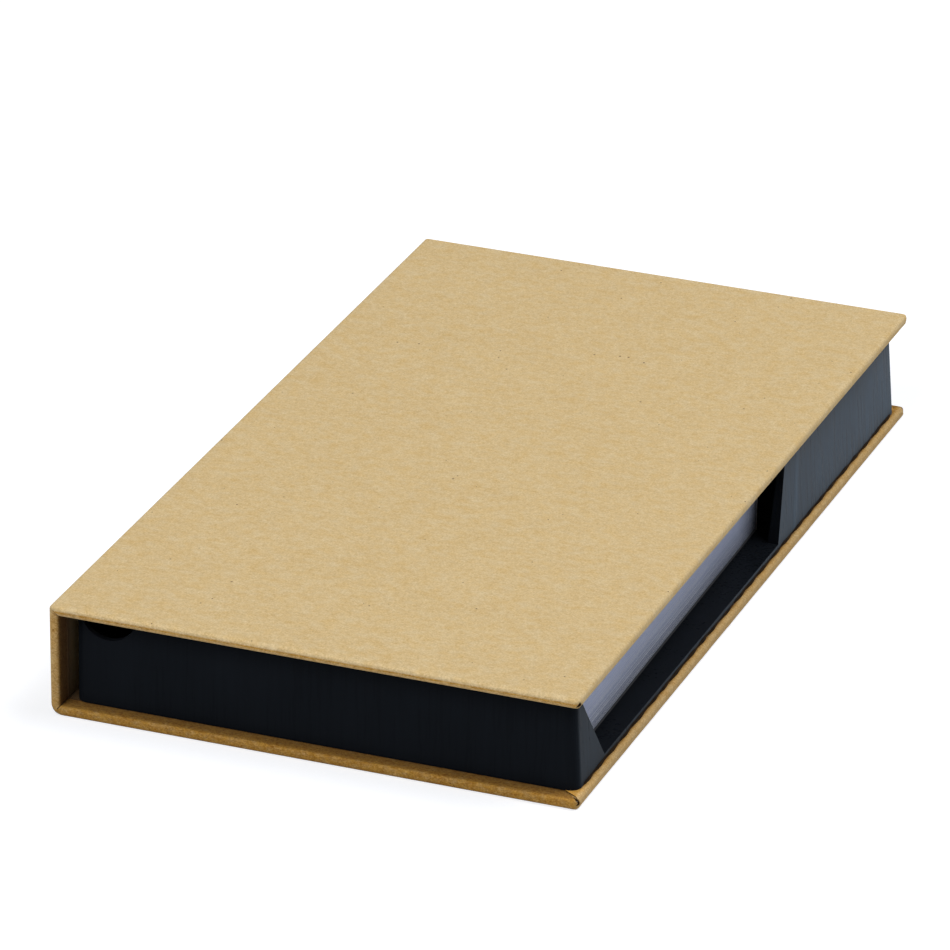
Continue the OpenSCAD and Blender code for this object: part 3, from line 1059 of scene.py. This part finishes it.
def glue_bead(skin):
    """The bead along the fore-edge foot."""
    foot = tray_high.x
    back = foot - BEAD_BACK
    rows = []
    for y in spread(glue_low.y, glue_high.y, BEAD_STEP):
        taper = smooth(0, BEAD_TAPER, min(y - glue_low.y, glue_high.y - y))
        reach = bead_reach(y) * taper + 0.01
        height = (BEAD_HEIGHT + 0.2 * noise.noise(Vector((y / 3.1, 5.5, 0)))) * taper + 0.03
        row = [skin.add((back, y, GLUE_BASE + 0.01)), skin.add((back, y, GLUE_BASE + PAPER))]
        for i in range(BEAD_ARC + 1):
            a = math.pi / 2 * i / BEAD_ARC
            x = foot - 0.02 + reach * math.sin(a)
            row.append(skin.add((x, y, GLUE_BASE + height * math.cos(a) + 0.01 * (i == BEAD_ARC))))
        rows.append(row)
    close_bar(skin, rows)


def glue_line(skin, x):
    """A flat line of glue under the tray."""
    rows = []
    for y in spread(-GLUE_LINE_L / 2, GLUE_LINE_L / 2, GLUE_LINE_STEP):
        half = GLUE_LINE_W / 2 * (0.94 + 0.06 * noise.noise(Vector((x, y / 6, 0))))
        low, high = GLUE_BASE, GLUE_BASE + PAPER
        corners = ((x - half, low), (x - half, high), (x + half, high), (x + half, low))
        rows.append([skin.add((across, y, z)) for across, z in corners])
    close_bar(skin, rows)


def set_glue():
    """The bead along the fore-edge foot, and the two flat lines under the tray."""
    skin = Skin()
    glue_bead(skin)
    for x in GLUE_LINES:
        glue_line(skin, x)
    piece = skin.build("set_glue_lines", glue)
    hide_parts("tray_glue")
    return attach(piece, "base")


set_glue()


# ---- floor, light and camera ----

FLOOR_SIZE = 6.0   # this section is in metres
FLOOR_DROP = 0.00002
FLOOR_SHADE = (0.59, 0.60, 0.62, 1)
FLOOR_GLOW = (0.62, 0.63, 0.65, 1)
WORLD_LIGHT = 0.05
KEY_PLACE = (0.75, 0.45, 1.4)
KEY_SIZE = (1.2, 1.0)
KEY_POWER = 19.5
FRONT_PLACE = (-0.35, -1.1, 1.15)
FRONT_SIZE = (0.9, 0.8)
FRONT_POWER = 13.5


def camera_or_glossy(kit):
    """1 for what the camera sees straight, in a reflection or through glass, and 0 for light."""
    path = kit.add("ShaderNodeLightPath").outputs
    seen = kit.calc("MAXIMUM", path["Is Camera Ray"], path["Is Glossy Ray"])
    return kit.calc("MAXIMUM", seen, path["Is Transmission Ray"])


def floor():
    """A plain pale floor that shows the object's shadow and runs out to white."""
    mesh = bpy.data.meshes.new("studio_floor")
    half = FLOOR_SIZE / 2
    corners = [(-half, -half, 0), (half, -half, 0), (half, half, 0), (-half, half, 0)]
    mesh.from_pydata(corners, [], [(0, 1, 2, 3)])
    ground = bpy.data.objects.new("studio_floor", mesh)
    ground.location.z = -FLOOR_DROP
    bpy.context.scene.collection.objects.link(ground)
    material, shader, kit = new_material("pale_floor")
    shader["Base Color"].default_value = FLOOR_SHADE
    shader["Roughness"].default_value = 1.0
    shader["Specular IOR Level"].default_value = 0.0
    shader["Emission Color"].default_value = FLOOR_GLOW
    kit.join(camera_or_glossy(kit), shader["Emission Strength"])
    mesh.materials.append(material)


def world():
    """White to the camera and in reflections, and a weak even light for everything else."""
    sky = bpy.data.worlds.new("studio_world")
    sky.use_nodes = True
    background = sky.node_tree.nodes["Background"].inputs
    kit = NodeKit(sky.node_tree)
    background["Color"].default_value = (1, 1, 1, 1)
    kit.join(kit.remap(camera_or_glossy(kit), 0, 1, WORLD_LIGHT, 1.0), background["Strength"])
    bpy.context.scene.world = sky


def area_light(name, place, size, power):
    """A white rectangular lamp that faces the origin."""
    lamp = bpy.data.lights.new(name, "AREA")
    lamp.shape = "RECTANGLE"
    lamp.size, lamp.size_y = size
    lamp.energy = power
    holder = bpy.data.objects.new(name, lamp)
    holder.location = place
    holder.rotation_mode = "QUATERNION"
    holder.rotation_quaternion = (-Vector(place)).to_track_quat("-Z", "Y")
    bpy.context.scene.collection.objects.link(holder)


# The photograph's camera, solved from the case's straight edges
AZIMUTH = math.radians(21.18)
ELEVATION = math.radians(24.76)
ROLL = math.radians(0.39)
LENS_MM = 278.6
SENSOR_MM = 36
TARGET = Vector((-17.1, 32.9, 0)) * MM
DISTANCE = 1.3975


def camera():
    """The photograph's view."""
    data = bpy.data.cameras.new("photo_camera")
    data.lens = LENS_MM
    data.sensor_width = SENSOR_MM
    data.clip_start, data.clip_end = 0.05, 50
    eye = bpy.data.objects.new("photo_camera", data)
    ahead = Vector((math.sin(AZIMUTH), -math.cos(AZIMUTH), 0))
    back = ahead * math.cos(ELEVATION) + Vector((0, 0, math.sin(ELEVATION)))
    level = Vector((math.cos(AZIMUTH), math.sin(AZIMUTH), 0))
    upright = back.cross(level)
    right = level * math.cos(ROLL) + upright * math.sin(ROLL)
    up = upright * math.cos(ROLL) - level * math.sin(ROLL)
    eye.matrix_world = Matrix((right, up, back)).transposed().to_4x4()
    eye.location = TARGET + back * DISTANCE
    bpy.context.scene.collection.objects.link(eye)
    bpy.context.scene.camera = eye


floor()
world()
area_light("key_light", KEY_PLACE, KEY_SIZE, KEY_POWER)
area_light("front_light", FRONT_PLACE, FRONT_SIZE, FRONT_POWER)
camera()
bpy.context.scene.view_settings.view_transform = "Standard"
